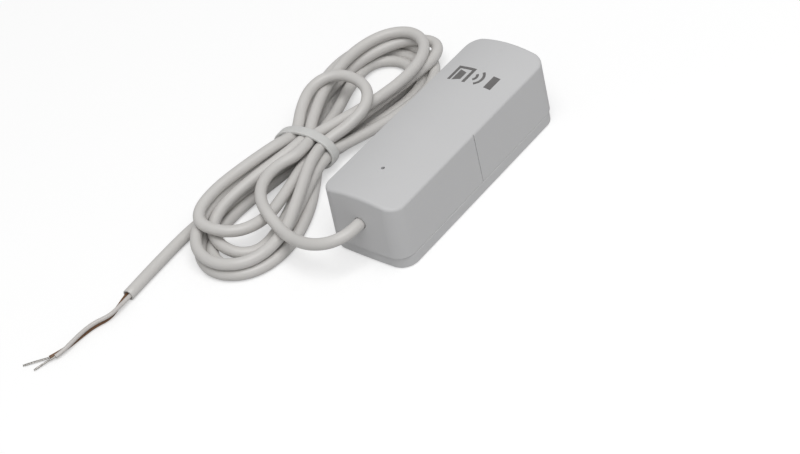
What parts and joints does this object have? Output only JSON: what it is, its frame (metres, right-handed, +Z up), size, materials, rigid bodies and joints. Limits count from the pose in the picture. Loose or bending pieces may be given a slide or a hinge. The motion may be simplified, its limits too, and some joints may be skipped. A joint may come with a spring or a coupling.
{
  "type": "door contact sensor",
  "caption": "Wired magnetic door contact: crowned plastic housing on a screw-down base plate, reed switch inside, and a tied cable hank with stripped cores.",
  "frame": {"origin": "middle of the underside of the base plate", "axes": "+X along the housing away from the cable, +Y towards the cable hank, +Z up"},
  "size_m": [0.1779, 0.08, 0.0244],
  "materials": {
    "white_abs": "fine matt moulded ABS",
    "circuit_board": "solder mask over glass epoxy",
    "zinc_steel": "zinc plated",
    "nylon": "slightly translucent nylon",
    "led_lens": "clear red epoxy",
    "tinned_copper": "tinned",
    "resistor_body": "lacquered",
    "suppressor_body": "moulded epoxy",
    "reed_glass": "clear greenish glass",
    "nickel_iron": "plated nickel iron",
    "solder": "bright solder",
    "cable_jacket": "satin PVC",
    "brown_core": "satin PVC",
    "white_core": "satin PVC"
  },
  "bodies": {
    "base": {"base_plate": "white_abs", "cable_lead": "cable_jacket", "cable_hank": "cable_jacket", "cable_tail": "cable_jacket", "cable_tie": "nylon", "brown_core": "brown_core", "white_core": "white_core", "brown_strands": "tinned_copper", "white_strands": "tinned_copper"},
    "housing": {"housing_shell": "white_abs", "circuit_board": "circuit_board", "board_screws": "zinc_steel", "clamp_screws": "zinc_steel", "strain_relief_bar": "nylon", "led_lens": "led_lens", "led_leads": "tinned_copper", "resistor_bodies": "resistor_body", "resistor_leads": "tinned_copper", "suppressor_body": "suppressor_body", "suppressor_leads": "tinned_copper", "reed_glass": "reed_glass", "reed_fixed_blade": "nickel_iron", "reed_outer_lead": "nickel_iron", "solder_joints": "solder", "cable_stub": "cable_jacket", "inner_core_brown": "brown_core", "inner_core_white": "white_core"},
    "reed_blade": {"reed_moving_blade": "nickel_iron"}
  },
  "joints": [
    {"name": "shell_lift", "type": "slide", "parent": "base", "child": "housing", "axis": [0, 0, 1], "range_m": [0, 0.012], "deforming": ["cable_lead"]},
    {"name": "reed_close", "type": "hinge", "parent": "housing", "child": "reed_blade", "pos_m": [0.0056, -0.0072, 0.01474], "axis": [0, 1, 0], "range_deg": [0, 0.9], "stiffness_Nm_per_rad": 0.00002}
  ]
}
